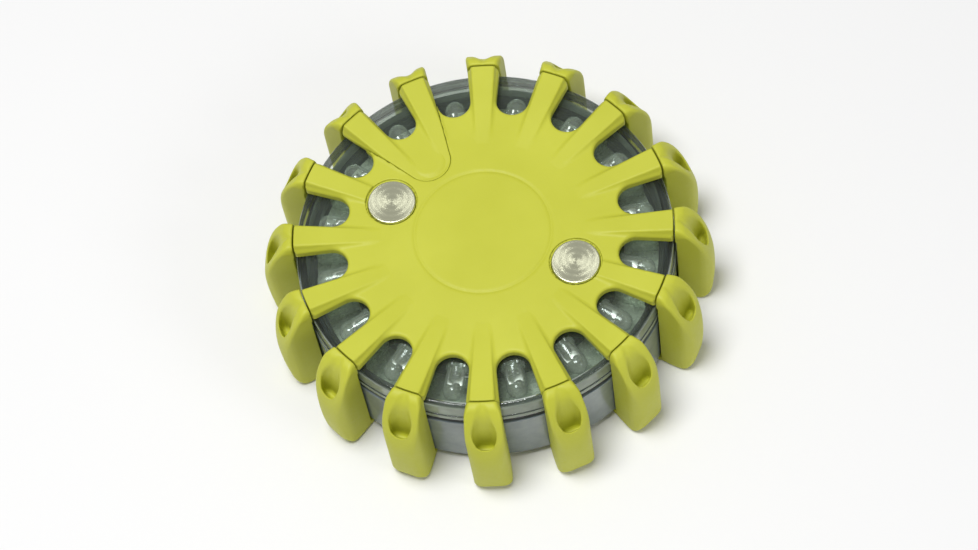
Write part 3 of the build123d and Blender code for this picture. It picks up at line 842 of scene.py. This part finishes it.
# lamps: a clear bullet body round a bright lead frame with its cup
LAMP_LOW, LAMP_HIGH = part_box("led_01")
LAMP_Z = middle("led_01").z
LAMP_RIM_R = (LAMP_HIGH.z - LAMP_LOW.z) / 2 / MM
LAMP_BODY_R = 2.5
LAMP_BACK = 32.2
LAMP_TIP = 40.8
POST_HALF = 0.25
CHIP_SIDE = 0.55
CHIP_HALF = 0.2


def lamp_body():
    """The clear body: a rim at the back, a straight barrel and a round nose."""
    dome = LAMP_TIP - LAMP_BODY_R
    rim = [
        (0, 0), (LAMP_RIM_R - 0.15, 0), (LAMP_RIM_R, 0.15), (LAMP_RIM_R, 0.85),
        (LAMP_RIM_R - 0.15, 1.0), (LAMP_BODY_R + 0.06, 1.03), (LAMP_BODY_R, 1.2),
    ]
    profile = [(r, LAMP_BACK + h) for r, h in rim] + arc((0, dome), LAMP_BODY_R, 0, 90, 12)
    profile[-1] = (0, LAMP_TIP)
    return lathe(profile, 48, "X", (0, 0, LAMP_Z))


def lamp_frame():
    """Two flat posts; the wider one carries a cone-shaped cup with the chip in it."""
    post = slab([
        (32.5, -1.5), (35.9, -1.5), (36.3, -0.55), (36.9, -0.45), (36.9, -1.75), (35.4, -1.95),
        (32.5, -1.95),
    ], LAMP_Z - POST_HALF, LAMP_Z + POST_HALF)
    anvil = slab([
        (32.5, 1.05), (34.9, 1.05), (35.3, -0.35), (36.4, -0.5), (36.9, 0.0), (36.9, 1.85),
        (35.4, 1.95), (32.5, 1.55),
    ], LAMP_Z - POST_HALF, LAMP_Z + POST_HALF)
    cup_profile = [(0, 36.5), (0.75, 36.5), (1.15, 37.5), (1.0, 37.5), (0.55, 36.75), (0, 36.75)]
    cup = lathe(cup_profile, 24, "X", (0, CHIP_SIDE, LAMP_Z))
    chip_low, chip_high = CHIP_SIDE - CHIP_HALF, CHIP_SIDE + CHIP_HALF
    chip = slab(
        [(36.75, chip_low), (36.95, chip_low), (36.95, chip_high), (36.75, chip_high)],
        LAMP_Z - CHIP_HALF, LAMP_Z + CHIP_HALF,
    )
    return join(post, anvil, cup, chip)


for number, angle in enumerate(WINDOW_ANGLES, start=1):
    body = weld(make_object(f"lamp_body_{number:02d}", *turn(lamp_body(), angle)))
    dress(body, "led_epoxy", "puck_base", f"led_{number:02d}")
    inner = weld(make_object(f"lamp_frame_{number:02d}", *turn(lamp_frame(), angle)), edge=0.06)
    dress(inner, "tinned_wire", "puck_base")

# solder fillets where the lamp leads come through the board
LEAD_R = 31.0
LEAD_SIDE = 1.27
FILLET_PROFILE = [
    (1.05, 0.0), (1.05, 0.05), (0.7, 0.12), (0.5, 0.3), (0.42, 0.6), (0.36, 0.8), (0.0, 0.85),
]


def solder_fillet(side):
    """A small cone of solder round one lead."""
    return lathe([(r, BOARD_TOP + h) for r, h in FILLET_PROFILE], 20, "Z", (LEAD_R, side, 0))


pads = [
    turn(solder_fillet(side), angle) for angle in WINDOW_ANGLES for side in (-LEAD_SIDE, LEAD_SIDE)
]
dress(weld(make_object("solder_joints", *join(*pads)), radians(60)), "tinned_wire", "puck_base")


# foam pad over the cell: a soft block, crowned, with pulled-in sides
CORNER_BEND = 0.3             # how square the block is in plan, 1 being an ellipse
SIDE_BEND = 0.22
TOP_BEND = 0.35
CROWN = (0.1, 0.12)           # how far the top falls away along and across


def foam_block():
    """Points and faces of the block, as rings from its underside to its top."""
    low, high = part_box("foam_pad")
    centre = middle("foam_pad")
    half = (high - low) / 2 / MM
    lift = np.linspace(-pi / 2, pi / 2, 25)
    around = np.arange(96) * ROUND / 96

    def power(value, bend):
        return np.sign(value) * np.abs(value) ** bend

    rows = []
    for t in lift:
        x = half.x * power(np.cos(around), CORNER_BEND) * power(cos(t), SIDE_BEND)
        y = half.y * power(np.sin(around), CORNER_BEND) * power(cos(t), SIDE_BEND)
        crown = 1 - CROWN[0] * (x / half.x) ** 2 - CROWN[1] * (y / half.y) ** 2
        z = half.z * power(sin(t), TOP_BEND) * crown
        rows.append(np.stack([x, y, np.broadcast_to(z, x.shape)], 1))
    points = np.concatenate(rows) + np.array(centre)
    count = len(around)
    faces = []
    for i in range(len(lift) - 1):
        for j in range(count):
            k = (j + 1) % count
            faces.append((i * count + j, i * count + k, (i + 1) * count + k, (i + 1) * count + j))
    return points, faces


foam = weld(make_object("foam_cushion", *foam_block()), radians(80))
dress(foam, "foam", "lens_cap", "foam_pad")

# ---------------------------------------------------------------- floor, light and camera
scene = bpy.context.scene
FLOOR_HALF = 3
FLOOR_DROP = 0.0002           # keeps the floor clear of the flare's flat underside
LIGHT_TARGET = Vector((0, 0, 0.015))
WORLD_STRENGTH = 0.29

corners = [(-1, -1), (1, -1), (1, 1), (-1, 1)]
mesh = bpy.data.meshes.new("floor")
mesh.from_pydata([(x * FLOOR_HALF, y * FLOOR_HALF, 0) for x, y in corners], [], [(0, 1, 2, 3)])
floor = bpy.data.objects.new("floor", mesh)
scene.collection.objects.link(floor)
floor.location.z = -FLOOR_DROP
floor.data.materials.append(finish("floor_paper", grey(0.86), grey(0.88), (0.7, 0.8), patch=0.002))


def soft_light(name, location, size, watts):
    """A round soft light that faces the flare."""
    data = bpy.data.lights.new(name, "AREA")
    data.shape = "DISK"
    data.size = size
    data.energy = watts
    lamp = bpy.data.objects.new(name, data)
    lamp.location = location
    lamp.rotation_euler = (LIGHT_TARGET - Vector(location)).to_track_quat("-Z", "Y").to_euler()
    scene.collection.objects.link(lamp)


soft_light("overhead", (-0.17, -0.08, 1.0), size=0.45, watts=8.3)
soft_light("side", (0.75, -0.45, 0.55), size=0.35, watts=1.3)
world = bpy.data.worlds.new("studio")
world.use_nodes = True
world.node_tree.nodes["Background"].inputs[0].default_value = (1, 1, 1, 1)
world.node_tree.nodes["Background"].inputs[1].default_value = WORLD_STRENGTH
scene.world = world
scene.view_settings.view_transform = "Standard"

# the camera looks from EYE at AIM, with UP_HINT pointing up in the picture
EYE = Vector((0.05395, -0.31880, 0.60872))
AIM = Vector((0.0, -0.003, 0.0135))
UP_HINT = Vector((0.04994, 0.82464, 0.56344))
LENS = 104.0                  # millimetres, on a sensor 36 wide

camera_data = bpy.data.cameras.new("camera")
camera_data.sensor_width = 36.0
camera_data.lens = LENS
camera_data.clip_start = 0.01
camera = bpy.data.objects.new("camera", camera_data)
scene.collection.objects.link(camera)
toward = (EYE - AIM).normalized()
right = UP_HINT.cross(toward).normalized()
upward = toward.cross(right)
tilt = Matrix((right, upward, toward)).transposed().to_4x4()
camera.matrix_world = Matrix.Translation(EYE) @ tilt
scene.camera = camera
